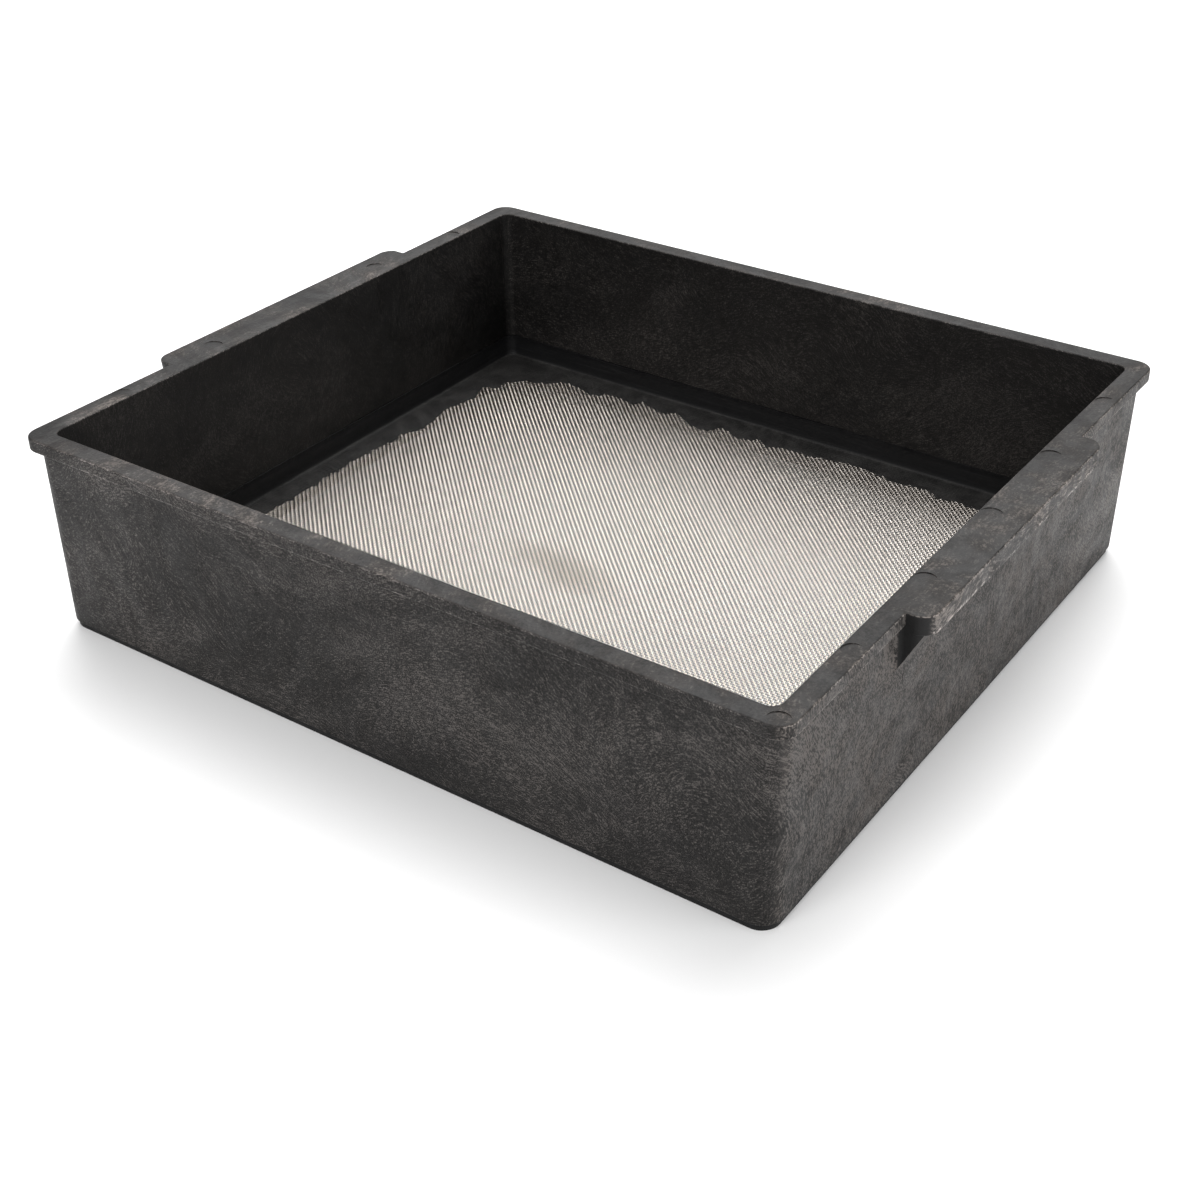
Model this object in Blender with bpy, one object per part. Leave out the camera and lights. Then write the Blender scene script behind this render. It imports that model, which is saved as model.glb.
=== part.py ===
"""Hand sifting tray for gold and gem prospecting: a deep, open plastic tray with a flat rim and a
grip along each short end, closed below by woven steel cloth that is held in a moulded frame.

The frame of the part: X runs along the long side, Y across it, +Z is up. The origin is the middle
of the footprint, at the height of the surface that the tray stands on. Lengths are in metres.
"""

import math

import bmesh
import bpy
from mathutils import Vector

# --- Driving dimensions -----------------------------------------------------------------------
RIM_LENGTH = 0.360          # outside of the rim, along X
RIM_WIDTH = 0.326           # outside of the rim, along Y
HEIGHT = 0.092              # from the table to the top of the rim

RIM_THICKNESS = 0.0057      # height of the rim's outer edge
RIM_OVERHANG = 0.0031       # how far the rim stands out from the wall
RIM_FACE = 0.0093           # width of the rim's flat top
RIM_CORNER = 0.008          # outer corner radius of the rim
WALL_CORNER = 0.009         # outer corner radius of the walls
INSIDE_CORNER = 0.0045      # corner radius inside the tray
OUTER_DRAFT = 0.0005        # the walls' foot is this far inside their head
INNER_DRAFT = 0.0013        # and the inside narrows by this, from rim to frame

GRIP_LENGTH = 0.160         # at the rim, along Y
GRIP_REACH = 0.0097         # how far the grip stands out past the rim
GRIP_THICKNESS = 0.0086     # height of the grip's outer edge
GRIP_CORNER = 0.007         # radius of its two outer corners
CORBEL_REACH = 0.0065       # where the slanted underside starts, past the rim's edge
CORBEL_DEPTH = 0.0275       # from the top of the rim to the foot of the slanted underside
CORBEL_TAPER = 0.0034       # each end of the grip draws in by this, from top to foot

FRAME_TOP = 0.0234          # the joint line between frame and tray, above the table
FRAME_STEP = 0.0030         # the frame's foot stands this far below the walls
FOOT_INSET = 0.0010         # and this far inside their outer face
FRAME_INSET = 0.0028        # above the foot, the frame's band fits inside the walls
LEDGE_TOP = 0.0121          # the ledge that covers the edge of the cloth
LEDGE_WIDTH = 0.0070        # from the foot of the inside wall to the window
WINDOW_DRAFT = 0.0010       # the window widens downwards
WINDOW_CORNER = 0.0060

WIRE = 0.00045              # wire diameter of the cloth
CLOTH_TOP = 0.0112          # top of the cloth
CLOTH_GRIP = 0.0034         # how far the cloth runs into the frame's groove
GROOVE_DEPTH = 0.0040

GAP = 0.0003                # clearance between pieces that touch
CLEAR = 0.010               # how far a cutter runs past the faces that it cuts
CORNER_STEPS = 6            # flats in each rounded corner

# --- Worked-out sizes: half lengths along X and Y ----------------------------------------------
RIM = Vector((RIM_LENGTH / 2, RIM_WIDTH / 2))
WALL_HEAD = RIM - Vector((RIM_OVERHANG, RIM_OVERHANG))
WALL_FOOT = WALL_HEAD - Vector((OUTER_DRAFT, OUTER_DRAFT))
MOUTH = RIM - Vector((RIM_FACE, RIM_FACE))
THROAT = MOUTH - Vector((INNER_DRAFT, INNER_DRAFT))
FOOT = WALL_FOOT - Vector((FOOT_INSET, FOOT_INSET))
FRAME = WALL_FOOT - Vector((FRAME_INSET, FRAME_INSET))
POCKET = FRAME + Vector((GAP, GAP))
WINDOW = THROAT - Vector((LEDGE_WIDTH, LEDGE_WIDTH))
WINDOW_FOOT = WINDOW + Vector((WINDOW_DRAFT, WINDOW_DRAFT))
CLOTH = WINDOW + Vector((CLOTH_GRIP, CLOTH_GRIP))
GROOVE = WINDOW + Vector((GROOVE_DEPTH, GROOVE_DEPTH))
CLOTH_THICKNESS = 2 * WIRE


def clear_scene():
    for obj in list(bpy.data.objects):
        bpy.data.objects.remove(obj, do_unlink=True)


def new_collection(name):
    collection = bpy.data.collections.new(name)
    bpy.context.scene.collection.children.link(collection)
    return collection


def material(name, colour, roughness, metallic=0.0):
    made = bpy.data.materials.new(name)
    made.use_nodes = True
    shader = made.node_tree.nodes["Principled BSDF"]
    shader.inputs["Base Color"].default_value = (*colour, 1.0)
    shader.inputs["Roughness"].default_value = roughness
    shader.inputs["Metallic"].default_value = metallic
    return made


def drafted_block(name, collection, low, high, z_low, z_high, corner):
    """A block on the Z axis with rounded upright edges. low and high are its half sizes at either end."""
    mesh = bmesh.new()
    bmesh.ops.create_cube(mesh, size=2.0)
    for vert in mesh.verts:
        half, z = (high, z_high) if vert.co.z > 0 else (low, z_low)
        vert.co = Vector((math.copysign(half[0], vert.co.x), math.copysign(half[1], vert.co.y), z))
    upright = [edge for edge in mesh.edges if abs(edge.verts[0].co.z - edge.verts[1].co.z) > 1e-6]
    bmesh.ops.bevel(mesh, geom=upright, offset=corner, segments=CORNER_STEPS, profile=0.5, affect="EDGES")
    return as_object(name, collection, mesh)


def through_cutter(name, collection, low, high, z_low, z_high, corner):
    """A drafted block carried on past both of its ends, for an opening that goes right through."""
    spread = (high - low) / (z_high - z_low) * CLEAR
    return drafted_block(name, collection, low - spread, high + spread, z_low - CLEAR, z_high + CLEAR, corner)


def prism_along_y(name, collection, outline, half_length):
    """An outline of (x, z) points made a solid between -half_length and +half_length."""
    mesh = bmesh.new()
    ring = [mesh.verts.new((x, -half_length, z)) for x, z in outline]
    face = mesh.faces.new(ring)
    grown = bmesh.ops.extrude_face_region(mesh, geom=[face])["geom"]
    moved = [item for item in grown if isinstance(item, bmesh.types.BMVert)]
    bmesh.ops.translate(mesh, verts=moved, vec=(0.0, 2 * half_length, 0.0))
    bmesh.ops.recalc_face_normals(mesh, faces=mesh.faces)
    return as_object(name, collection, mesh)


def as_object(name, collection, mesh):
    data = bpy.data.meshes.new(name)
    mesh.to_mesh(data)
    mesh.free()
    obj = bpy.data.objects.new(name, data)
    collection.objects.link(obj)
    return obj


def combine(target, tool, operation):
    """Adds a Boolean modifier, and makes the tool a helper that is left out of the model."""
    modifier = target.modifiers.new(f"{operation.lower()} {tool.name}", "BOOLEAN")
    modifier.operation = operation
    modifier.solver = "EXACT"
    modifier.object = tool
    tool.hide_render = True
    tool.display_type = "WIRE"


def add_grip(tray, helpers, side):
    """The grip at one short end: a flange level with the rim, its underside slanting back to the wall."""
    name = "right" if side > 0 else "left"
    reach = RIM.x + GRIP_REACH
    inner = MOUTH.x - 2 * GRIP_CORNER
    half_top = ((reach - inner) / 2, GRIP_LENGTH / 2)
    half_foot = (half_top[0], GRIP_LENGTH / 2 - CORBEL_TAPER)
    foot = HEIGHT - CORBEL_DEPTH
    flange = drafted_block(f"grip_{name}", helpers, half_foot, half_top, foot, HEIGHT, GRIP_CORNER)
    flange.location.x = side * (reach + inner) / 2
    combine(tray, flange, "UNION")

    head = HEIGHT - GRIP_THICKNESS
    start = RIM.x + CORBEL_REACH
    wall = WALL_HEAD.x - GAP
    slant = (start - wall) / (head - foot)
    outline = [
        (start, head),
        (reach + CLEAR, head),
        (reach + CLEAR, foot - CLEAR),
        (wall - slant * CLEAR, foot - CLEAR),
    ]
    outline = [(side * x, z) for x, z in outline]
    combine(flange, prism_along_y(f"grip_underside_{name}", helpers, outline, GRIP_LENGTH), "DIFFERENCE")


def build_tray(parts, helpers, plastic):
    """Walls, rim and both grips in one moulding, with a pocket below that takes the frame."""
    tray = drafted_block("tray_body", parts, WALL_FOOT, WALL_HEAD, FRAME_STEP, HEIGHT, WALL_CORNER)
    rim = drafted_block("rim", helpers, RIM, RIM, HEIGHT - RIM_THICKNESS, HEIGHT, RIM_CORNER)
    combine(tray, rim, "UNION")
    for side in (-1, 1):
        add_grip(tray, helpers, side)

    inside = through_cutter("inside", helpers, THROAT, MOUTH, FRAME_TOP, HEIGHT, INSIDE_CORNER)
    pocket_corner = WALL_CORNER - FRAME_INSET + GAP
    pocket = drafted_block("pocket", helpers, POCKET, POCKET, -CLEAR, FRAME_TOP + GAP, pocket_corner)
    combine(tray, inside, "DIFFERENCE")
    combine(tray, pocket, "DIFFERENCE")
    tray.data.materials.append(plastic)
    return tray


def build_frame(parts, helpers, plastic):
    """The base frame: a foot, a band up to the joint line, a ledge over the cloth's edge and its groove."""
    foot_top = FRAME_STEP - GAP
    frame_corner = WALL_CORNER - FRAME_INSET
    groove_foot = CLOTH_TOP - CLOTH_THICKNESS - GAP
    frame = drafted_block("screen_frame", parts, FOOT, FOOT, 0.0, foot_top, WALL_CORNER - FOOT_INSET)
    band = drafted_block("band", helpers, FRAME, FRAME, foot_top / 2, FRAME_TOP, frame_corner)
    combine(frame, band, "UNION")
    inside = drafted_block("basin", helpers, THROAT, THROAT, LEDGE_TOP, FRAME_TOP + CLEAR, INSIDE_CORNER)
    window = through_cutter("window", helpers, WINDOW_FOOT, WINDOW, 0.0, LEDGE_TOP, WINDOW_CORNER)
    groove = drafted_block("groove", helpers, GROOVE, GROOVE, groove_foot, CLOTH_TOP + GAP, WINDOW_CORNER)
    for cutter in (inside, window, groove):
        combine(frame, cutter, "DIFFERENCE")
    frame.data.materials.append(plastic)
    return frame


def build_cloth(parts, steel):
    """The woven cloth's outer shape: a plate as thick as two crossing wires."""
    foot = CLOTH_TOP - CLOTH_THICKNESS
    cloth = drafted_block("wire_mesh", parts, CLOTH, CLOTH, foot, CLOTH_TOP, WINDOW_CORNER)
    cloth.data.materials.append(steel)
    return cloth


def main():
    clear_scene()
    parts = new_collection("sifting_tray")
    helpers = new_collection("cutters")
    plastic = material("recycled_plastic", (0.045, 0.043, 0.042), 0.55)
    frame_plastic = material("frame_plastic", (0.035, 0.034, 0.034), 0.50)
    steel = material("steel_cloth", (0.62, 0.60, 0.57), 0.32, metallic=1.0)
    build_tray(parts, helpers, plastic)
    build_frame(parts, helpers, frame_plastic)
    build_cloth(parts, steel)


main()
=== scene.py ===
"""Looks for the prospecting sifting tray: moulded tray, screen frame with its film of plastic, woven cloth.

Lengths are in metres in the part's own frame: X along the tray, Y across it, +Z up, table at zero.
"""

import math

import bmesh
import bpy
import numpy as np
from mathutils import Matrix, Vector


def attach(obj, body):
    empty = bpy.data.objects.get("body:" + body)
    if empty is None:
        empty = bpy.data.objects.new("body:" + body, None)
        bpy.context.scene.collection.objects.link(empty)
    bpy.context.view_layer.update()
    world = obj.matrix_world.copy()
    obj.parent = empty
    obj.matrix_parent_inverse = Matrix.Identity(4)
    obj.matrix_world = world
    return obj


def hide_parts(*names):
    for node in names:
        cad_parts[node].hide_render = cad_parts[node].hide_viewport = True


MM = 0.001

# --- Sizes that follow the CAD part, in millimetres ---------------------------------------------
RIM = (180.0, 163.0)            # half sizes outside the rim
OVERHANG = 3.1                  # rim past the wall
DRAFT = 0.5
RIM_FACE = 9.3                  # width of the rim's top
INNER_DRAFT = 1.3
HEIGHT = 92.0
LIP = 5.7                       # height of the rim's edge
RIM_CORNER = 8.0
WALL_CORNER = 9.0
INSIDE_CORNER = 4.5
FRAME_TOP = 23.4
FRAME_STEP = 3.0
FOOT_INSET = 1.0
FRAME_INSET = 2.8
LEDGE_TOP = 12.1
LEDGE_WIDTH = 7.0
CLOTH_TOP = 11.2

GRIP_HALF = 80.0
GRIP_OUT = 189.7
GRIP_EDGE = 8.6
GRIP_CORNER = 7.0
CORBEL_OUT = 186.5
CORBEL_DEPTH = 27.5
CORBEL_TAPER = 3.4

WIRE = 0.45
PITCH_X = 1.400                 # between wires that run along Y
PITCH_Y = 1.425                 # between wires that run along X
CLOTH_TURN = 0.8                # degrees, cloth against tray
CLOTH_HALF = (164.8, 148.0)     # half sizes of the cloth
CLOTH_GROUPS = 7                # pieces in which each set of wires is made

# Width of the plastic film over the cloth, from the foot of the wall: (place along the side, width).
FILM_BACK = (
    (-152, 22), (-140, 18), (-127, 13), (-118, 13), (-111, 17.5), (-105, 15.5), (-99, 11), (-89, 12),
    (-83, 14), (-76, 9), (-66, 14), (-54, 10.5), (-42, 18.5), (-33, 17.5), (-27, 11), (-23, 11.5),
    (-16, 16), (-10, 15.5), (-4, 11.5), (3, 17), (10, 12.5), (27, 12.5), (46, 9), (54, 9), (74, 14),
    (84, 12), (92, 12.5), (103, 17), (110, 14.5), (122, 16), (138, 12), (150, 17),
)
FILM_LEFT = (
    (-140, 15), (-120, 11), (-95, 14), (-70, 11), (-35, 12), (-30, 11), (-20, 12.7), (-12, 10.5),
    (-3, 12), (8, 11), (28, 12), (40, 14.2), (47, 12), (60, 16.7), (74, 16.2), (86, 12.4), (110, 17.3),
    (120, 12.8), (132, 20),
)
FILM_FRONT = (
    (-150, 18), (-128, 12), (-104, 16), (-84, 11), (-60, 15), (-38, 10), (-20, 14), (8, 10.5),
    (30, 16), (52, 12), (80, 16), (97, 11), (120, 15), (150, 18),
)
FILM_RIGHT = (
    (-140, 17), (-112, 12), (-90, 15), (-66, 11), (-40, 16), (-18, 12), (0, 13.5), (26, 10),
    (50, 14), (72, 11), (95, 15), (118, 12), (140, 18),
)

# Centres of the marks that ejector pins left in the rim's top.
PINS = ((174.0, -158.0), (175.4, -110.6), (175.6, -55.5), (175.6, 0.9), (175.6, 57.5), (175.4, 115.6),
        (-179.0, -54.0), (-179.5, 57.7), (-175.4, -112.0), (-175.4, 113.0))
PIN_RADIUS = 4.25

# Angles, in degrees, of the steps in a rounded edge.
COARSE = (0, 30, 60, 90)
FINE = (0, 22, 45, 68, 90)


def smooth_noise(places, length, waves, seed):
    """A smooth periodic signal of about unit size along a closed path."""
    rng = np.random.default_rng(seed)
    total = np.zeros_like(places)
    for wave in waves:
        total += rng.normal() * np.cos(2 * np.pi * wave * places / length + rng.uniform(0, 2 * np.pi))
    return total / math.sqrt(len(waves))


def arc(radius, angles):
    """Steps round a quarter circle, as pairs: the radius times 1 - sine and times 1 - cosine."""
    turns = [math.radians(angle) for angle in angles]
    return [(radius * (1 - math.sin(turn)), radius * (1 - math.cos(turn))) for turn in turns]


def bend(radius, angles):
    """Steps round a quarter circle, as pairs: the radius times 1 - cosine and times sine."""
    turns = [math.radians(angle) for angle in angles]
    return [(radius * (1 - math.cos(turn)), radius * math.sin(turn)) for turn in turns]


# --- Rings: closed paths round the tray, with matching points at every size -----------------------
class Stations:
    """Places round a rounded rectangle, counter-clockwise from the front left corner."""

    def __init__(self, step, corner_steps):
        self.side = []
        self.part = []
        self.turn = []
        for side in range(4):
            count = int(2 * RIM[side % 2] / step)
            for i in range(count):
                self.side.append(side)
                self.part.append(i / count)
                self.turn.append(0.0)
            for i in range(corner_steps):
                self.side.append(side)
                self.part.append(1.0)
                self.turn.append(i / corner_steps)
        self.side = np.array(self.side)
        self.part = np.array(self.part)
        self.turn = np.array(self.turn)

    def ring(self, half_x, half_y, radius):
        corner = np.array([[-1, -1], [1, -1], [1, 1], [-1, 1]]) * [half_x - radius, half_y - radius]
        start = corner[self.side]
        end = corner[(self.side + 1) % 4]
        centre = start + (end - start) * self.part[:, None]
        angle = (self.side + self.turn - 1) * np.pi / 2
        return centre + radius * np.stack([np.cos(angle), np.sin(angle)], axis=1)

    def inset(self, amount, corner):
        """A ring that lies inside the rim's outer edge by this much."""
        return self.ring(RIM[0] - amount, RIM[1] - amount, corner)


def loft(rows):
    """Points and quads of a closed skin through rings, the last joined to the first."""
    count = len(rows[0])
    points = np.concatenate(rows)
    ring = np.arange(count)
    following = (ring + 1) % count
    faces = []
    for i in range(len(rows)):
        a = i * count
        b = ((i + 1) % len(rows)) * count
        faces.append(np.stack([a + ring, a + following, b + following, b + ring], axis=1))
    return points, np.concatenate(faces)


def row(ring, height):
    height = np.broadcast_to(np.asarray(height, float), (len(ring),))
    return np.column_stack([ring, height])


def bow(points):
    """The long walls and ends lean inwards by a little at their middles, most at the rim."""
    x, y, z = points.T.copy()
    lift = np.clip(z / HEIGHT, 0, 1) ** 1.5
    ends = 0.7 * lift * (1 - (y / RIM[1]) ** 2).clip(0, 1)
    sides = 0.35 * lift * (1 - (x / RIM[0]) ** 2).clip(0, 1)
    near_end = np.clip((np.abs(x) - 100) / 60, 0, 1)
    near_side = np.clip((np.abs(y) - 90) / 50, 0, 1)
    return np.column_stack([x - np.sign(x) * ends * near_end, y - np.sign(y) * sides * near_side, z])


def add_object(name, data):
    made = bpy.data.objects.new(name, data)
    bpy.context.scene.collection.objects.link(made)
    return made


def mesh_object(name, points, faces):
    """A mesh object from arrays of points in millimetres and quads."""
    mesh = bpy.data.meshes.new(name)
    mesh.vertices.add(len(points))
    mesh.vertices.foreach_set("co", (np.asarray(points) * MM).astype(np.float32).ravel())
    sides = faces.shape[1]
    mesh.loops.add(faces.size)
    mesh.loops.foreach_set("vertex_index", faces.astype(np.int32).ravel())
    mesh.polygons.add(len(faces))
    mesh.polygons.foreach_set("loop_start", np.arange(len(faces), dtype=np.int32) * sides)
    mesh.update(calc_edges=True)
    return add_object(name, mesh)


def as_object(name, shape):
    """A mesh object from a bmesh, which is freed."""
    mesh = bpy.data.meshes.new(name)
    shape.to_mesh(mesh)
    shape.free()
    return add_object(name, mesh)


def face_outwards(obj):
    shape = bmesh.new()
    shape.from_mesh(obj.data)
    bmesh.ops.recalc_face_normals(shape, faces=shape.faces)
    shape.to_mesh(obj.data)
    shape.free()


def smooth(obj, angle):
    obj.data.shade_smooth()
    obj.data.set_sharp_from_angle(angle=math.radians(angle))


def apply_modifiers(obj):
    graph = bpy.context.evaluated_depsgraph_get()
    mesh = bpy.data.meshes.new_from_object(obj.evaluated_get(graph))
    old = obj.data
    obj.modifiers.clear()
    obj.data = mesh
    mesh.name = old.name
    bpy.data.meshes.remove(old)


# --- The tray --------------------------------------------------------------------------------------
def joint_height(places, length):
    """How far the frame's edge at the joint line wanders up and down."""
    return 0.25 * smooth_noise(places, length, (1, 2, 3, 5, 8, 13), 11)


def wall_inset(z):
    return OVERHANG + DRAFT * (1 - (z - FRAME_STEP) / (HEIGHT - FRAME_STEP))


def inner_inset(z):
    return RIM_FACE + INNER_DRAFT * (1 - (z - FRAME_TOP) / (HEIGHT - FRAME_TOP))


def tray_skin(at):
    """Wall, rim and inside of the tray as one closed skin."""
    rows = []

    def add(amount, corner, z):
        rows.append(row(at.inset(amount, corner), z))

    pocket = OVERHANG + DRAFT + FRAME_INSET - 0.3
    add(inner_inset(FRAME_TOP), INSIDE_CORNER, FRAME_TOP + 0.25)
    add(pocket, WALL_CORNER - FRAME_INSET, FRAME_TOP + 0.3)
    add(pocket, WALL_CORNER - FRAME_INSET, FRAME_STEP)
    foot = wall_inset(FRAME_STEP)
    for up, out in bend(0.5, COARSE):
        add(foot + 0.5 - out, WALL_CORNER - 0.5 + out, FRAME_STEP + up)
    for z in np.linspace(8, 83, 16):
        add(wall_inset(z), WALL_CORNER, z)
    under = HEIGHT - LIP
    top = HEIGHT - 0.02
    head = wall_inset(under)
    for out, up in bend(0.9, COARSE):
        add(head - out, WALL_CORNER - 0.1 * out, under - 0.9 + up)
    for up, out in bend(0.5, COARSE):
        add(0.5 - out, RIM_CORNER - 0.5 + out, under + up)
    add(0.0, RIM_CORNER, HEIGHT - 2.5)
    for back, up in bend(0.8, FINE):
        add(back, RIM_CORNER - back, top - 0.8 + up)
    add(3.2, RIM_CORNER - 2.0, top)
    add(6.2, INSIDE_CORNER + 1.6, top)
    for back, down in arc(0.6, FINE):
        add(RIM_FACE - back, INSIDE_CORNER + back, top - down)
    for z in np.linspace(84, 28, 15):
        add(inner_inset(z), INSIDE_CORNER, z)
    return loft(rows)


CORBEL_FOOT = HEIGHT - CORBEL_DEPTH
FLANGE_FOOT = HEIGHT - GRIP_EDGE
CORBEL_WALL = RIM[0] - wall_inset(CORBEL_FOOT) - 0.05


def underside(reach):
    """Height of a grip's slanted underside at this distance from the middle of the tray."""
    return CORBEL_FOOT + (FLANGE_FOOT - CORBEL_FOOT) * (reach - CORBEL_WALL) / (CORBEL_OUT - CORBEL_WALL)


def taper(z):
    """Length of a grip at a height, as a share of its length at the rim."""
    return 1 - CORBEL_TAPER * max(0.0, HEIGHT - z) / CORBEL_DEPTH / GRIP_HALF


def grip_outline(y, drop):
    """Section of a grip across Y, where its top lies lower by drop than in the middle."""
    into = max(0.0, abs(y) - (GRIP_HALF - GRIP_CORNER))
    out = GRIP_OUT - GRIP_CORNER + math.sqrt(GRIP_CORNER**2 - into**2)
    top = HEIGHT - drop
    outline = [(172.5, top - 0.06), (175.5, top), (179.0, top), (out - 0.8, top)]
    outline += [(out - back, top - down) for back, down in arc(0.8, FINE[1:])]
    outline += [(out - back, FLANGE_FOOT + 0.7 - down) for back, down in bend(0.7, COARSE)]
    slant = min(CORBEL_OUT, out - 0.75)
    outline += [(slant, underside(slant)), (CORBEL_WALL, CORBEL_FOOT), (173.0, CORBEL_FOOT), (173.0, 80.0)]
    return outline


def grip_solid(name, side):
    """A grip as sections across Y: a flat flange, and the slanted solid that carries it."""
    stations = [(0.0, 0.8), (0.24, 0.24), (0.8, 0.0)]
    stations += [(y, 0.0) for y in (1.6, 2.4, 3.4, 4.5, 5.7, GRIP_CORNER)]
    stations += [(y, 0.0) for y in np.linspace(12, GRIP_HALF, 14)]
    stations = [(-GRIP_HALF + y, drop) for y, drop in stations]
    stations += [(-y, drop) for y, drop in reversed(stations[:-1])]
    sections = [[(side * x, y * taper(z), z) for x, z in grip_outline(y, drop)] for y, drop in stations]
    shape = bmesh.new()
    rings = []
    for section in sections:
        rings.append([shape.verts.new([length * MM for length in point]) for point in section])
    join_rings(shape, rings)
    return as_object(name, shape)


def join_rings(shape, rings):
    """Faces between each ring of vertices and the next, and over both ends."""
    for one, other in zip(rings, rings[1:]):
        for j in range(len(one)):
            k = (j + 1) % len(one)
            shape.faces.new((one[j], one[k], other[k], other[j]))
    shape.faces.new(rings[0])
    shape.faces.new(rings[-1])
    bmesh.ops.recalc_face_normals(shape, faces=shape.faces)


def root_fillet(name, side, end):
    """The hollow fillet where the end of a grip's slanted support meets the wall."""
    radius = 3.0
    outline = [(CORBEL_WALL - 2.0, -1.5), (CORBEL_WALL + radius, -1.5), (CORBEL_WALL + radius, 0.0)]
    outline += [(CORBEL_WALL + back, along) for back, along in arc(radius, range(15, 91, 15))]
    outline.append((CORBEL_WALL - 2.0, radius))
    low = [max(underside(x) + 0.02, 60.0) for x, _ in outline]
    high = [88.0] * len(outline)
    shape = bmesh.new()
    rings = []
    for heights in (low, high):
        ring = []
        for (x, along), z in zip(outline, heights):
            ring.append(shape.verts.new(Vector((side * x, end * (GRIP_HALF * taper(z) + along), z)) * MM))
        rings.append(ring)
    join_rings(shape, rings)
    return as_object(name, shape)


def pin_mark(name, x, y, seed):
    """A short disc, tipped a little, that sinks one side of an ejector mark into the rim's top."""
    shape = bmesh.new()
    bmesh.ops.create_cone(shape, cap_ends=True, segments=40, radius1=PIN_RADIUS * MM,
                          radius2=PIN_RADIUS * MM, depth=2 * MM)
    rng = np.random.default_rng(seed)
    tip = Matrix.Rotation(math.radians(4.5 + rng.uniform(0, 1.5)), 4, "X")
    aim = Matrix.Rotation(math.radians(35 + rng.uniform(-40, 40)), 4, "Z")
    place = Matrix.Translation(Vector((x, y, HEIGHT + 0.93)) * MM)    # its low side cuts into the rim
    bmesh.ops.transform(shape, matrix=place @ aim @ tip.inverted(), verts=shape.verts)
    return as_object(name, shape)


def build_tray():
    points, faces = tray_skin(Stations(6.0, 10))
    tray = mesh_object("tray_shell", points, faces)
    face_outwards(tray)
    tools = [(grip_solid(f"grip_{side}", side), "UNION") for side in (-1, 1)]
    for side in (-1, 1):
        tools += [(root_fillet(f"fillet_{side}_{end}", side, end), "UNION") for end in (-1, 1)]
    tools += [(pin_mark(f"pin_{i}", x, y, i), "DIFFERENCE") for i, (x, y) in enumerate(PINS)]
    for tool, operation in tools:
        modifier = tray.modifiers.new(tool.name, "BOOLEAN")
        modifier.operation = operation
        modifier.solver = "EXACT"
        modifier.object = tool
    apply_modifiers(tray)
    for tool, _ in tools:
        bpy.data.objects.remove(tool, do_unlink=True)
    co = np.empty(len(tray.data.vertices) * 3, np.float32)
    tray.data.vertices.foreach_get("co", co)
    bent = bow(co.reshape(-1, 3).astype(float) / MM)
    tray.data.vertices.foreach_set("co", (bent * MM).astype(np.float32).ravel())
    smooth(tray, 32)
    weighted = tray.modifiers.new("weighted", "WEIGHTED_NORMAL")
    weighted.keep_sharp = True
    return tray


# --- The screen frame with its film ----------------------------------------------------------------
def film_width(at):
    """Width of the film at each station: drawn widths, a fine wander, and a ragged edge cell by cell."""
    place = np.where(at.side % 2 == 0, at.ring(160, 150, 5)[:, 0], at.ring(160, 150, 5)[:, 1])
    width = np.zeros(len(place))
    for side, table in enumerate((FILM_FRONT, FILM_RIGHT, FILM_BACK, FILM_LEFT)):
        known = np.array(table, float)
        here = at.side == side
        width[here] = np.interp(place[here], known[:, 0], known[:, 1])
    kernel = np.hanning(9)
    kernel /= kernel.sum()
    padded = np.concatenate([width[-4:], width, width[:4]])
    width = np.convolve(padded, kernel, mode="valid")
    length = float(len(width))
    index = np.arange(len(width), dtype=float)
    width = width + 0.30 * smooth_noise(index, length, range(60, 240, 11), 5)
    cells = np.random.default_rng(7).normal(0, 0.40, 4000)
    ragged = cells[(np.floor(place / PITCH_X) + 1000 * at.side + 400).astype(int) % 4000]
    return np.clip(width + ragged, LEDGE_WIDTH + 1.0, 26.0)


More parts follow.
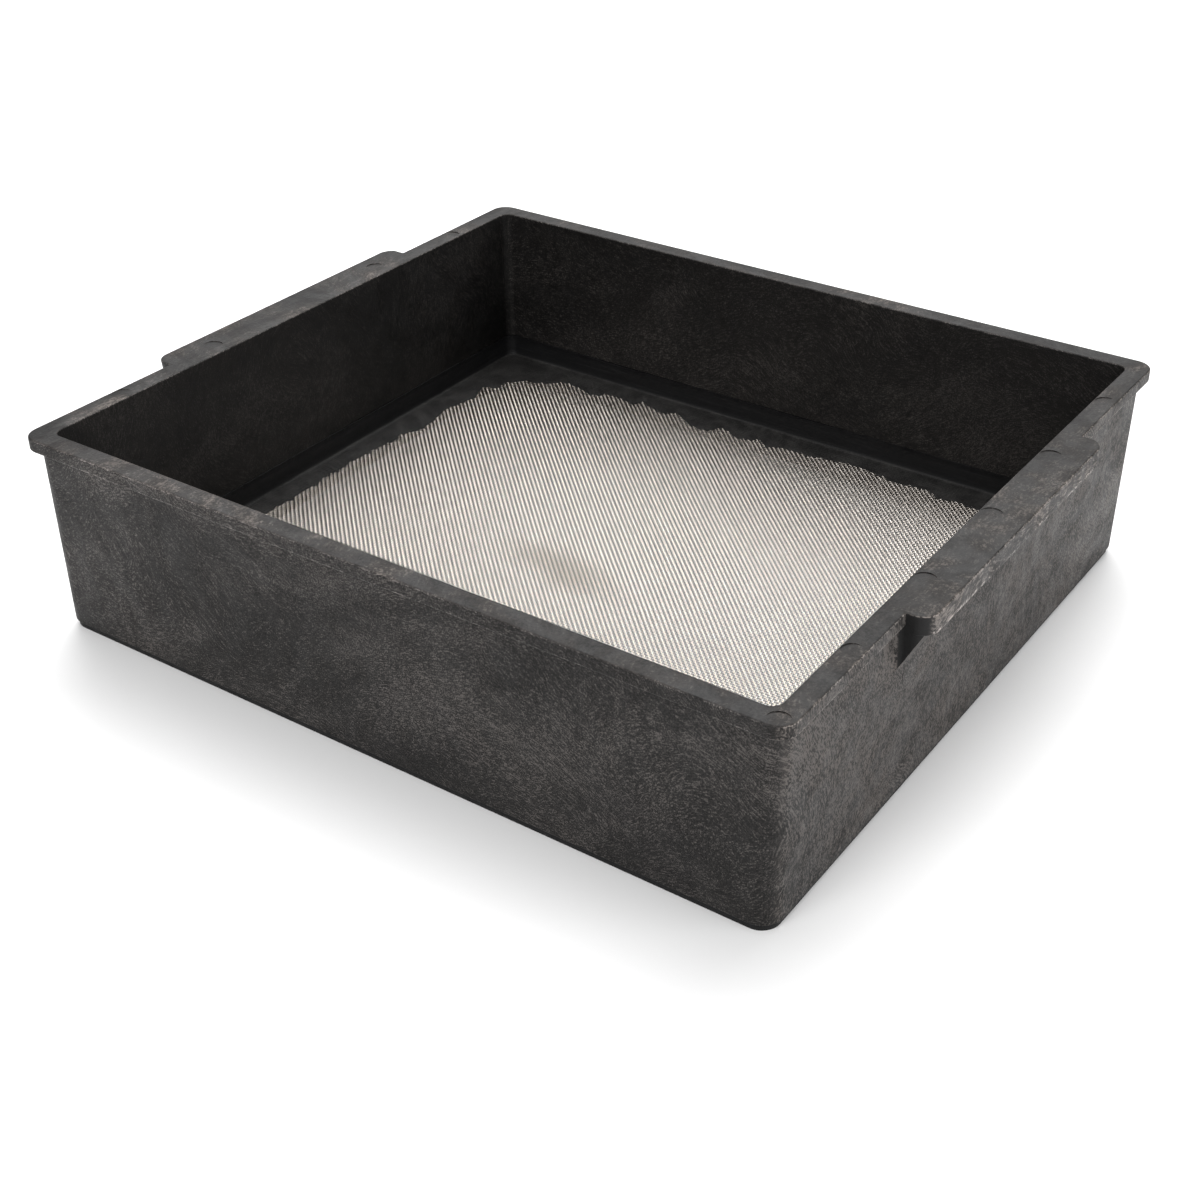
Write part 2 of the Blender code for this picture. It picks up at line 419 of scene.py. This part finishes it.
def build_frame():
    at = Stations(0.50, 22)
    count = len(at.side)
    length = float(count)
    index = np.arange(count, dtype=float)
    wander = joint_height(index, length)
    burr = np.clip(smooth_noise(index, length, range(40, 400, 23), 3), 0, 2.5) * 0.16 + 0.05
    swell = 0.08 * smooth_noise(index, length, range(2, 40, 3), 17)
    inner = inner_inset(FRAME_TOP)
    foot = OVERHANG + DRAFT + FOOT_INSET
    band = OVERHANG + DRAFT + FRAME_INSET
    ceiling = FRAME_TOP + np.minimum(wander, 0.2)
    rows = []

    def add(amount, corner, z):
        rows.append(row(at.inset(amount, corner), z))

    def towards(height, amount):
        """Adds a ring this far in from the foot of the inside wall, on the way to one 30 mm further in."""
        outer = at.inset(inner, INSIDE_CORNER)
        centre = at.inset(inner + 30, 8.0)
        share = np.broadcast_to(np.asarray(amount, float) / 30, (count,))
        rows.append(row(outer + (centre - outer) * share[:, None], height))

    for up, out in bend(0.4, (0, 45, 90)):
        add(foot + 0.4 - out, WALL_CORNER - FOOT_INSET - 0.4 + out, up)
    add(foot, WALL_CORNER - FOOT_INSET, FRAME_STEP - 0.5)
    add(foot + 0.2, WALL_CORNER - FOOT_INSET - 0.2, FRAME_STEP - 0.3)
    add(band, WALL_CORNER - FRAME_INSET, FRAME_STEP - 0.3)
    add(band, WALL_CORNER - FRAME_INSET, FRAME_TOP - 0.4)
    add(inner - 0.4, INSIDE_CORNER + 0.4, ceiling)
    towards(ceiling, 0.02)
    towards(ceiling - 0.10, 0.10 + burr)
    towards(ceiling - 0.28, 0.12 + 0.6 * burr)
    towards(ceiling - 0.55, 0.06)
    towards(20.0, 0.10 + swell)
    towards(15.5, 0.18 + swell)
    towards(13.5, 0.30 + swell)
    towards(12.8, 0.55 + swell)
    width = film_width(at)
    top = LEDGE_TOP + 0.04 * smooth_noise(index, length, range(5, 40, 5), 23)
    thin = CLOTH_TOP - 0.02 + 0.04 * smooth_noise(index, length, range(20, 160, 9), 29)
    towards(top + 0.2, 1.0)
    towards(top + 0.05, 1.6)
    for share, drop in ((0.25, 0.10), (0.45, 0.30), (0.60, 0.55)):
        towards(top - drop, 1.6 + (width - 1.6) * share)
    towards(thin + 0.12, 1.6 + (width - 1.6) * 0.75)
    towards(thin, 1.6 + (width - 1.6) * 0.90)
    towards(thin, width - 0.2)
    towards(CLOTH_TOP - 0.15, width)
    towards(CLOTH_TOP - 0.30, width)
    towards(CLOTH_TOP - 0.45, width - 0.3)
    towards(CLOTH_TOP - 0.45, LEDGE_WIDTH + 0.6)
    towards(CLOTH_TOP - 0.9, LEDGE_WIDTH + 0.1)
    towards(5.0, LEDGE_WIDTH - 0.5)
    towards(0.4, LEDGE_WIDTH - 1.0)
    towards(0.0, LEDGE_WIDTH - 1.4)
    points, faces = loft(rows)
    frame = mesh_object("screen_frame_moulded", bow(points), faces)
    face_outwards(frame)
    smooth(frame, 40)
    return frame


# --- The woven cloth -------------------------------------------------------------------------------
def weave_field(points):
    """Slow wander of the wires in the plane, and a slack floor that isn't quite flat, in millimetres."""
    x, y, z = points.T
    dx = 0.35 * np.sin(x / 61 + 0.7) * np.cos(y / 47 + 0.3) + 0.18 * np.sin(y / 19 + x / 83)
    dy = 0.30 * np.cos(x / 53 + 1.1) * np.sin(y / 58 + 0.9) + 0.15 * np.sin(x / 23 - y / 71)
    edge = (1 - (x / 166) ** 2).clip(0, 1) * (1 - (y / 149) ** 2).clip(0, 1)
    dz = edge * (0.28 * np.sin(x / 37 + 0.4) * np.sin(y / 31 + 1.7) - 0.3)
    return np.column_stack([x + dx * edge, y + dy * edge, z + dz])


def wires(along, across, pitch, first, swap, odd):
    """Tubes that run along one axis, crimped over and under the other set, which lie a pitch apart."""
    sides = 6
    steps = int(2 * along / pitch) * 2 + 1
    u = (np.arange(steps) - (steps - 1) / 2) * pitch / 2
    numbers = np.arange(len(across))
    sign = np.where((numbers + first + odd) % 2 == 0, 1.0, -1.0)
    phase = u / pitch * np.pi + (0 if steps % 4 == 1 else np.pi / 2)
    lift = sign[:, None] * WIRE / 2 * np.cos(phase)[None, :]
    slope = -sign[:, None] * WIRE / 2 * np.pi / pitch * np.sin(phase)[None, :]
    tilt = np.arctan(slope)
    angle = np.arange(sides) * 2 * np.pi / sides
    side = np.cos(angle)[None, None, :] * WIRE / 2
    rise = np.sin(angle)[None, None, :] * WIRE / 2
    centre_z = CLOTH_TOP - WIRE + lift
    pu = u[None, :, None] - rise * np.sin(tilt)[:, :, None]
    pv = across[:, None, None] + side
    pz = centre_z[:, :, None] + rise * np.cos(tilt)[:, :, None]
    pu, pv, pz = np.broadcast_arrays(pu, pv, pz)
    points = np.stack([pv, pu, pz] if swap else [pu, pv, pz], axis=-1).reshape(-1, 3)
    turn = math.radians(CLOTH_TURN)
    cosine, sine = math.cos(turn), math.sin(turn)
    x, y, z = points.T
    points = np.column_stack([x * cosine - y * sine, x * sine + y * cosine, z])
    ring = np.arange(sides)
    following = (ring + 1) % sides
    start = np.arange(steps - 1)[:, None] * sides
    next_start = start + sides
    one = np.stack([start + ring, start + following, next_start + following, next_start + ring], axis=-1)
    one = one.reshape(-1, 4)
    faces = (one[None] + (numbers * steps * sides)[:, None, None]).reshape(-1, 4)
    if swap:
        faces = faces[:, ::-1]
    return weave_field(points), faces


def build_cloth():
    """Both sets of wires, each in groups that stay under 200,000 triangles."""
    half_x, half_y = CLOTH_HALF
    pieces = []
    for swap in (False, True):
        pitch = PITCH_X if swap else PITCH_Y
        reach = half_x if swap else half_y
        count = int(2 * reach / pitch) + 1
        across = (np.arange(count) - (count - 1) / 2) * pitch
        for group in range(CLOTH_GROUPS):
            low = group * count // CLOTH_GROUPS
            high = (group + 1) * count // CLOTH_GROUPS
            other = PITCH_Y if swap else PITCH_X
            along = half_y if swap else half_x
            points, faces = wires(along, across[low:high], other, low, swap, 1 if swap else 0)
            name = f"cloth_{'across' if swap else 'along'}_{group + 1}"
            piece = mesh_object(name, points, faces)
            piece.data.shade_smooth()
            pieces.append(piece)
    return pieces


# --- Materials -------------------------------------------------------------------------------------
# Soft steps between looks, in metres: where each begins and where it ends. All are distances from the
# middle of the tray, along X or Y, but for BELOW_TOP, which is a height above the table.
INSIDE_X = (0.1735, 0.1725)
INSIDE_Y = (0.1575, 0.1565)
BELOW_TOP = (0.0918, 0.0910)
END_WALL = (0.1745, 0.1760)
GRIP_FACE = (0.1872, 0.1880)
RIM_FACE_X = (0.1788, 0.1792)
RIM_FACE_Y = (0.1620, 0.1624)
OFF_THE_GRIP = (0.1812, 0.1808)
SUPPORT = (0.1768, 0.1774)

INSIDE_TONE = 0.40              # tone of the plastic inside the tray, as a share of that outside
RELIEF = 0.00022                # height of the plastic's bumps, in metres


class Shader:
    """Short calls that add nodes to a material and join them."""

    def __init__(self, name):
        self.material = bpy.data.materials.new(name)
        self.material.use_nodes = True
        self.tree = self.material.node_tree
        self.bsdf = self.tree.nodes["Principled BSDF"]
        self.place = self.add("ShaderNodeTexCoord").outputs["Object"]
        self.normal = self.add("ShaderNodeNewGeometry").outputs["Normal"]

    def add(self, kind, **inputs):
        made = self.tree.nodes.new(kind)
        for key, value in inputs.items():
            self.put(made.inputs[key.replace("_", " ")], value)
        return made

    def put(self, socket, value):
        if isinstance(value, bpy.types.NodeSocket):
            self.tree.links.new(value, socket)
        else:
            socket.default_value = value

    def maths(self, operation, a, b=0.0, c=0.0):
        made = self.tree.nodes.new("ShaderNodeMath")
        made.operation = operation
        for socket, value in zip(made.inputs, (a, b, c)):
            self.put(socket, value)
        return made.outputs[0]

    def vector(self, operation, a, b=None, scale=None):
        made = self.tree.nodes.new("ShaderNodeVectorMath")
        made.operation = operation
        self.put(made.inputs[0], a)
        if b is not None:
            self.put(made.inputs[1], b)
        if scale is not None:
            self.put(made.inputs["Scale"], scale)
        return made.outputs["Value" if operation == "LENGTH" else "Vector"]

    def stretched(self, vector, size, turn=(0, 0, 0)):
        """Coordinates in which noise of scale 1 has features of this size along the turned axes."""
        made = self.add("ShaderNodeMapping", Vector=vector, Scale=size)
        made.vector_type = "TEXTURE"
        made.inputs["Rotation"].default_value = [math.radians(t) for t in turn]
        return made.outputs[0]

    def noise(self, vector, scale, detail=2.0, roughness=0.5):
        inputs = {"Vector": vector, "Scale": scale, "Detail": detail, "Roughness": roughness}
        return self.add("ShaderNodeTexNoise", **inputs).outputs["Fac"]

    def ramp(self, value, low, high, out_low=0.0, out_high=1.0):
        made = self.add("ShaderNodeMapRange", Value=value)
        made.interpolation_type = "SMOOTHSTEP"
        for socket, number in zip(made.inputs[1:5], (low, high, out_low, out_high)):
            self.put(socket, number)
        return made.outputs[0]

    def mix(self, share, a, b):
        """Colour a where the share is 0, and b where it is 1."""
        made = self.tree.nodes.new("ShaderNodeMix")
        made.data_type = "RGBA"
        self.put(made.inputs[0], share)
        self.put(made.inputs[6], a)
        self.put(made.inputs[7], b)
        return made.outputs[2]

    def blend(self, share, a, b):
        """Number a where the share is 0, and b where it is 1."""
        made = self.tree.nodes.new("ShaderNodeMix")
        made.data_type = "FLOAT"
        self.put(made.inputs[0], share)
        self.put(made.inputs[2], a)
        self.put(made.inputs[3], b)
        return made.outputs[0]

    def bump(self, height, strength):
        made = self.add("ShaderNodeBump", Height=height, Distance=RELIEF, Strength=strength)
        self.put(self.bsdf.inputs["Normal"], made.outputs[0])


def flow_field(s):
    """The place on the part, pushed about so that straight streaks come out as swirls."""
    place = s.place
    for scale, push in ((9.0, 0.060), (34.0, 0.012)):
        swirl = s.add("ShaderNodeTexNoise", Vector=s.place, Scale=scale, Detail=1.0).outputs["Color"]
        swirl = s.vector("SUBTRACT", swirl, (0.5, 0.5, 0.5))
        place = s.vector("ADD", place, s.vector("SCALE", swirl, scale=push))
    return place


def fibres(s, place, strip):
    """Hair-like streaks, 3 to 5 mm long and 0.5 to 1.3 mm wide, laid to suit each kind of face."""
    facing = s.add("ShaderNodeSeparateXYZ", Vector=s.vector("ABSOLUTE", s.normal)).outputs
    end_face = s.ramp(facing[0], 0.55, 0.8)
    top_face = s.maths("MAXIMUM", s.ramp(facing[2], 0.6, 0.9), strip)

    def streaks(size, turn):
        return s.noise(s.stretched(place, size, turn), 1.0, 2.0, 0.65)

    patches = s.ramp(s.noise(s.place, 18.0, 2.0), 0.42, 0.58)
    side_one = streaks((0.0036, 0.0007, 0.00050), (0, 24, 0))
    side_two = streaks((0.0030, 0.0007, 0.00050), (0, -18, 0))
    end_one = streaks((0.0008, 0.00060, 0.0036), (28, 0, 0))
    end_two = streaks((0.0008, 0.00060, 0.0042), (-20, 0, 0))
    top_one = streaks((0.0013, 0.0050, 0.0010), (0, 0, 8))
    side = s.blend(patches, side_one, side_two)
    end = s.blend(patches, end_one, end_two)
    return s.blend(top_face, s.blend(end_face, side, end), top_one)


def inside_share(s, where):
    """1 on the faces inside the tray, 0 on its outside and on the rim."""
    share = s.maths("MULTIPLY", s.ramp(where[0], *INSIDE_X), s.ramp(where[1], *INSIDE_Y))
    return s.maths("MULTIPLY", share, s.ramp(where[2], *BELOW_TOP))


def band_of(s, value, low, high, soft):
    """1 where the value lies between two limits, with soft ends."""
    return s.maths("MULTIPLY", s.ramp(value, low - soft, low), s.ramp(value, high + soft, high))


def edge_wear_and_highlight(s, up, where):
    """1 on the outer edges of the rim and grips, where handling has made the plastic paler, together with a
    painted highlight along these rounded and lower edges.
    """
    reach, across, height = where
    rounded = band_of(s, up, 0.35, 0.90, 0.15)
    lower_edge = band_of(s, height, 0.0834, 0.0848, 0.0005)
    grip_foot = s.maths("MULTIPLY", lower_edge, s.ramp(reach, *GRIP_FACE))
    outside = s.maths("MAXIMUM", s.ramp(reach, *RIM_FACE_X), s.ramp(across, *RIM_FACE_Y))
    rim_foot = s.maths("MULTIPLY", band_of(s, height, 0.0862, 0.0868, 0.0004), outside)
    rim_foot = s.maths("MULTIPLY", rim_foot, s.ramp(reach, *OFF_THE_GRIP))
    slope = CORBEL_TAPER / CORBEL_DEPTH
    grip_end = s.maths("MULTIPLY_ADD", height, slope, (GRIP_HALF - slope * HEIGHT) * MM)
    corbel_edge = band_of(s, s.maths("SUBTRACT", across, grip_end), -0.0007, 0.0002, 0.0003)
    corbel_edge = s.maths("MULTIPLY", corbel_edge, band_of(s, height, 0.066, 0.0834, 0.001))
    corbel_edge = s.maths("MULTIPLY", corbel_edge, s.ramp(reach, *SUPPORT))
    wear_and_highlight = s.maths("MAXIMUM", rounded, grip_foot)
    return s.maths("MAXIMUM", wear_and_highlight, s.maths("MULTIPLY", s.maths("MAXIMUM", rim_foot, corbel_edge), 0.7))


def grip_end_shade(s, facing, where):
    """1 on the ends of the grips, painted dark and plain as a painted shade for the hollow there."""
    facing_along = s.ramp(s.maths("ABSOLUTE", facing[1]), 0.35, 0.75)
    share = s.maths("MULTIPLY", facing_along, s.ramp(where[1], 0.095, 0.090))
    share = s.maths("MULTIPLY", share, s.ramp(where[0], 0.1768, 0.1776))
    return s.maths("MULTIPLY", share, s.ramp(where[2], 0.0918, 0.0912))


def recycled_plastic(name):
    """Dark recycled plastic, scuffed outside: clouds, brownish blotches, pale fibres and fine grain."""
    s = Shader(name)
    place = flow_field(s)
    cloud = s.noise(s.stretched(place, (0.085, 0.060, 0.028), (0, -22, 0)), 1.0, 2.0, 0.5)
    mottle = s.noise(place, 150.0, 3.0, 0.65)
    where = s.add("ShaderNodeSeparateXYZ", Vector=s.vector("ABSOLUTE", s.place)).outputs
    facing = s.add("ShaderNodeSeparateXYZ", Vector=s.normal).outputs
    inside = inside_share(s, where)
    top = s.ramp(facing[2], 0.6, 0.9)
    end = s.ramp(where[0], *END_WALL)
    grain = s.noise(s.place, s.blend(s.maths("MAXIMUM", end, top), 1700.0, 1050.0), 2.0, 0.8)
    strip = s.maths("MULTIPLY", s.ramp(where[0], *GRIP_FACE), s.ramp(facing[2], 0.5, 0.2))
    hair = fibres(s, place, strip)
    blotch = s.noise(place, 45.0, 2.0, 0.5)

    def weight(side_part, end_part, top_part, strip_part):
        """How much one kind of mark counts on each sort of face."""
        part = s.blend(top, s.blend(end, side_part, end_part), top_part)
        return s.blend(strip, part, strip_part)

    amount = s.maths("MULTIPLY", s.ramp(hair, 0.43, 0.66), weight(0.60, 1.05, 0.28, 0.75))
    amount = s.maths("MULTIPLY_ADD", s.ramp(mottle, 0.32, 0.70), weight(0.20, 0.30, 0.25, 0.35), amount)
    amount = s.maths("MULTIPLY_ADD", s.ramp(cloud, 0.30, 0.70), 0.40, amount)
    amount = s.maths("MULTIPLY_ADD", s.ramp(blotch, 0.30, 0.70), weight(0.0, 0.0, 0.42, 0.30), amount)
    amount = s.maths("MULTIPLY_ADD", s.ramp(grain, 0.36, 0.64), weight(0.80, 0.95, 0.35, 0.50), amount)
    tone = s.mix(s.ramp(amount, 0.25, 0.95), (0.0062, 0.0057, 0.0055, 1), (0.0232, 0.0214, 0.0206, 1))
    tone = s.mix(s.ramp(amount, 0.90, 1.70), tone, (0.125, 0.113, 0.106, 1))
    brown = s.maths("MULTIPLY", s.ramp(blotch, 0.40, 0.62), s.blend(top, s.blend(end, 0.05, 0.25), 0.45))
    tone = s.mix(brown, tone, s.vector("MULTIPLY", tone, (1.22, 1.10, 0.99)))
    # The long walls are painted darker towards +X: a painted shade for light that falls off along them.
    along = s.add("ShaderNodeSeparateXYZ", Vector=s.place).outputs[0]
    side_shade = s.ramp(along, -0.17, 0.17, 0.80, 0.58)
    tone = s.vector("SCALE", tone, scale=s.blend(end, side_shade, s.blend(top, 0.60, 0.47)))
    tone = s.mix(strip, tone, s.vector("SCALE", tone, scale=1.6))
    # Paler outer edges: wear, with a painted highlight along the rounded and lower edges.
    wear_and_highlight = s.maths("MULTIPLY", edge_wear_and_highlight(s, facing[2], where), s.ramp(mottle, 0.35, 0.55, 0.35, 1.0))
    tone = s.mix(wear_and_highlight, tone, s.vector("SCALE", tone, scale=2.6))
    # Inside, the plastic is darker; the inner end walls are painted darker again, a painted shade.
    end_wall = s.ramp(s.maths("ABSOLUTE", facing[0]), 0.5, 0.8)
    inside_tone_and_shade = s.blend(end_wall, INSIDE_TONE, 0.5 * INSIDE_TONE)
    tone = s.mix(inside, tone, s.vector("SCALE", tone, scale=inside_tone_and_shade))
    # The ends of the grips are painted dark: painted shade in the hollow under each grip.
    tone = s.mix(grip_end_shade(s, facing, where), tone, (0.0080, 0.0078, 0.0080, 1))
    s.put(s.bsdf.inputs["Base Color"], tone)
    s.put(s.bsdf.inputs["Roughness"], s.ramp(s.noise(place, 90.0, 3.0), 0.3, 0.7, 0.46, 0.62))
    s.bsdf.inputs["Specular IOR Level"].default_value = 0.17
    fine = s.noise(s.place, 1300.0, 2.0, 0.65)
    relief = s.maths("MULTIPLY_ADD", fine, 0.6, s.maths("MULTIPLY", hair, 0.5))
    s.bump(relief, s.blend(inside, 0.7, 0.35))
    return s.material


def frame_plastic(name):
    """The same plastic, smooth and black from the mould, and greyer where it lies thin over the wires."""
    s = Shader(name)
    place = flow_field(s)
    height = s.add("ShaderNodeSeparateXYZ", Vector=s.place).outputs[2]
    film = band_of(s, height, 0.0105, 0.0124, 0.0008)
    lines = s.noise(s.stretched(s.place, (0.030, 0.030, 0.0012)), 1.0, 2.0, 0.6)
    cloud = s.noise(place, 120.0, 3.0, 0.6)
    grain = s.noise(s.place, 1100.0, 2.0, 0.7)
    amount = s.maths("MULTIPLY", s.ramp(cloud, 0.35, 0.7), 0.5)
    amount = s.maths("MULTIPLY_ADD", s.ramp(grain, 0.35, 0.75), 0.5, amount)
    black = s.mix(s.ramp(lines, 0.5, 0.8), (0.0048, 0.0048, 0.0052, 1), (0.010, 0.010, 0.0105, 1))
    grey = s.mix(amount, (0.012, 0.0116, 0.0114, 1), (0.040, 0.0385, 0.037, 1))
    s.put(s.bsdf.inputs["Base Color"], s.mix(film, black, grey))
    s.put(s.bsdf.inputs["Roughness"], s.ramp(cloud, 0.3, 0.7, 0.48, 0.62))
    s.bsdf.inputs["Specular IOR Level"].default_value = 0.18
    weave = s.stretched(s.place, (PITCH_X * MM / math.pi, PITCH_Y * MM / math.pi, 1), (0, 0, CLOTH_TURN))
    turns = s.add("ShaderNodeSeparateXYZ", Vector=weave).outputs
    knuckles = s.maths("MULTIPLY", s.maths("COSINE", turns[0]), s.maths("COSINE", turns[1]))
    knuckles = s.maths("MULTIPLY", s.maths("ABSOLUTE", knuckles), film)
    fine = s.noise(s.place, 700.0, 3.0, 0.6)
    relief = s.maths("MULTIPLY_ADD", fine, 0.5, s.maths("MULTIPLY", knuckles, 0.5))
    s.bump(relief, 0.7)
    return s.material


def steel(name):
    """Bright drawn stainless wire with a faint rusty stain on one patch of the cloth."""
    s = Shader(name)
    spot = s.vector("MULTIPLY", s.vector("SUBTRACT", s.place, (-0.013, -0.016, 0.0)), (1.0, 1.0, 0.0))
    far = s.vector("LENGTH", s.stretched(spot, (0.038, 0.013, 1.0), (0, 0, -11)))
    far = s.maths("MULTIPLY_ADD", s.noise(s.place, 70.0, 3.0, 0.6), 1.2, far)
    stain = s.ramp(far, 1.9, 0.7)
    grey = s.noise(s.place, 300.0, 2.0)
    bright = s.mix(s.ramp(grey, 0.3, 0.7), (0.75, 0.690, 0.630, 1), (0.85, 0.785, 0.720, 1))
    brown = (0.46, 0.390, 0.300, 1)
    tone = s.mix(s.maths("MULTIPLY", stain, 0.6), bright, brown)
    facing = s.add("ShaderNodeSeparateXYZ", Vector=s.normal).outputs
    # Flanks are darker than crowns, which stands for the shade between the wires.
    crown = s.ramp(facing[2], 0.15, 0.85, 0.16, 1.0)
    s.put(s.bsdf.inputs["Base Color"], s.vector("SCALE", tone, scale=crown))
    s.bsdf.inputs["Metallic"].default_value = 1.0
    s.put(s.bsdf.inputs["Roughness"], s.ramp(s.noise(s.place, 900.0, 2.0), 0.3, 0.7, 0.16, 0.24))
    return s.material


def floor_paint(name):
    s = Shader(name)
    tone = s.ramp(s.noise(s.place, 3.0, 2.0), 0.3, 0.7)
    s.put(s.bsdf.inputs["Base Color"], s.mix(tone, (0.94, 0.94, 0.94, 1), (0.95, 0.95, 0.95, 1)))
    s.bsdf.inputs["Roughness"].default_value = 0.9
    s.bsdf.inputs["Specular IOR Level"].default_value = 0.0
    return s.material


# --- Stage -----------------------------------------------------------------------------------------
def build_floor():
    shape = bmesh.new()
    bmesh.ops.create_grid(shape, x_segments=8, y_segments=8, size=12.0)
    bmesh.ops.translate(shape, verts=shape.verts, vec=(0, 0, -0.0002))      # clear of the tray's foot
    floor = as_object("floor", shape)
    floor.data.materials.append(floor_paint("pale_floor"))


def add_light(name, at, target, size, power):
    data = bpy.data.lights.new(name, "AREA")
    data.shape = "RECTANGLE"
    data.size, data.size_y = size
    data.energy = power
    lamp = add_object(name, data)
    lamp.location = at
    lamp.rotation_euler = (Vector(target) - Vector(at)).to_track_quat("-Z", "Y").to_euler()


def build_light():
    world = bpy.data.worlds.new("studio")
    world.use_nodes = True
    world.node_tree.nodes["Background"].inputs["Color"].default_value = (1.0, 1.0, 1.0, 1.0)
    world.node_tree.nodes["Background"].inputs["Strength"].default_value = 0.12
    bpy.context.scene.world = world
    add_light("overhead", (-0.25, 0.4, 2.1), (0, 0, 0), (1.6, 1.6), 19.0)
    add_light("back_high", (-0.55, 0.95, 1.35), (0, 0, 0), (1.9, 1.5), 38.0)
    add_light("back_low", (-0.9, 1.5, 0.9), (0, 0, 0), (1.8, 1.0), 2.0)
    add_light("right_side", (1.7, 0.2, 0.38), (0.1, 0, 0.05), (1.4, 0.4), 21.0)
    add_light("front_fill", (0.4, -1.8, 1.15), (0, 0, 0), (2.2, 1.2), 41.0)
    add_light("left_side", (-1.7, 0.0, 1.1), (0, 0, 0), (1.2, 1.2), 3.0)


def build_camera():
    """The photo's camera, fitted to the rim, the upright edges and the base line. Angles are in radians."""
    heading, pitch, roll = 2.1783, 0.5666, -0.0055
    level = math.cos(pitch)
    forward = Vector((level * math.cos(heading), level * math.sin(heading), -math.sin(pitch)))
    right = Vector((math.sin(heading), -math.cos(heading), 0.0))
    up = right.cross(forward)
    x_axis = math.cos(roll) * right + math.sin(roll) * up
    y_axis = math.cos(roll) * up - math.sin(roll) * right
    data = bpy.data.cameras.new("camera")
    data.lens = 53.53
    data.sensor_width = 36.0
    camera = add_object("camera", data)
    turn = Matrix((x_axis, y_axis, -forward)).transposed().to_4x4()
    camera.matrix_world = Matrix.Translation((0.3873, -0.5634, 0.4259)) @ turn
    bpy.context.scene.camera = camera


# --- The scene -------------------------------------------------------------------------------------
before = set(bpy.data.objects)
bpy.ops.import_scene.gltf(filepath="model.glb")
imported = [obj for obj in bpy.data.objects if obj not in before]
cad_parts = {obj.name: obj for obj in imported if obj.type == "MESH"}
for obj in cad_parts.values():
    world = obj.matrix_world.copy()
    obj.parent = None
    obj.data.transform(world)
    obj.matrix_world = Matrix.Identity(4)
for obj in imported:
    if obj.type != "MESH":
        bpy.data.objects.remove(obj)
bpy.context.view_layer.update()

tray = build_tray()
tray.data.materials.clear()
tray.data.materials.append(recycled_plastic("recycled_plastic"))
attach(tray, "root")
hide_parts("tray_body")

frame = build_frame()
frame.data.materials.append(frame_plastic("frame_plastic"))
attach(frame, "root")
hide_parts("screen_frame")

steel_cloth = steel("steel_cloth")
for piece in build_cloth():
    piece.data.materials.append(steel_cloth)
    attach(piece, "root")
    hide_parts("wire_mesh")

build_floor()
build_light()
build_camera()
bpy.context.scene.view_settings.view_transform = "Standard"
